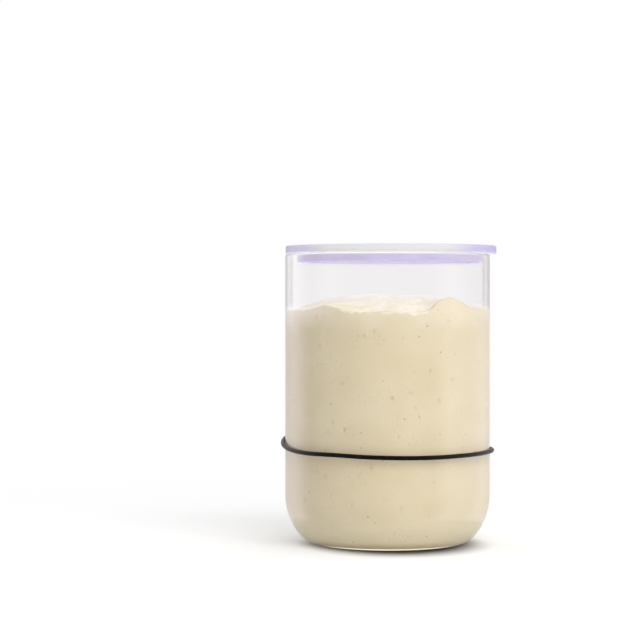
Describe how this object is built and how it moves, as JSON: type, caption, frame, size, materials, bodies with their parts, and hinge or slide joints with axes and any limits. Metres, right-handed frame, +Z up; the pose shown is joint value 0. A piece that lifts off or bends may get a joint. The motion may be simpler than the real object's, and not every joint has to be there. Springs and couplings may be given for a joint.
{
  "type": "sourdough starter jar",
  "caption": "Straight round glass jar with a rounded heel, holding risen sourdough starter under a loose drop-in lid with a silicone ring, with an elastic band marking the fed level.",
  "frame": {"origin": "centre of the jar's foot, on the table", "axes": "+Z up along the jar's axis, +X to the right and -Y towards the camera in the picture's view"},
  "size_m": [0.1006, 0.1, 0.138],
  "materials": {
    "clear_glass": "polished",
    "starter_dough": "soft wet batter with fine bubbles",
    "clear_plastic": "clear moulded plastic, gloss",
    "lavender_silicone": "translucent satin silicone",
    "black_elastic": "matte"
  },
  "bodies": {
    "jar": {"glass_jar": "clear_glass", "starter": "starter_dough"},
    "lid": {"lid_disc": "clear_plastic", "lid_ring": "lavender_silicone"},
    "band": {"marker_band": "black_elastic"}
  },
  "joints": [
    {"name": "lid_lift", "type": "slide", "parent": "jar", "child": "lid", "axis": [0, 0, 1], "range_m": [0, 0.08]},
    {"name": "band_slide", "type": "slide", "parent": "jar", "child": "band", "axis": [0, 0, 1], "range_m": [-0.018, 0.08]}
  ]
}
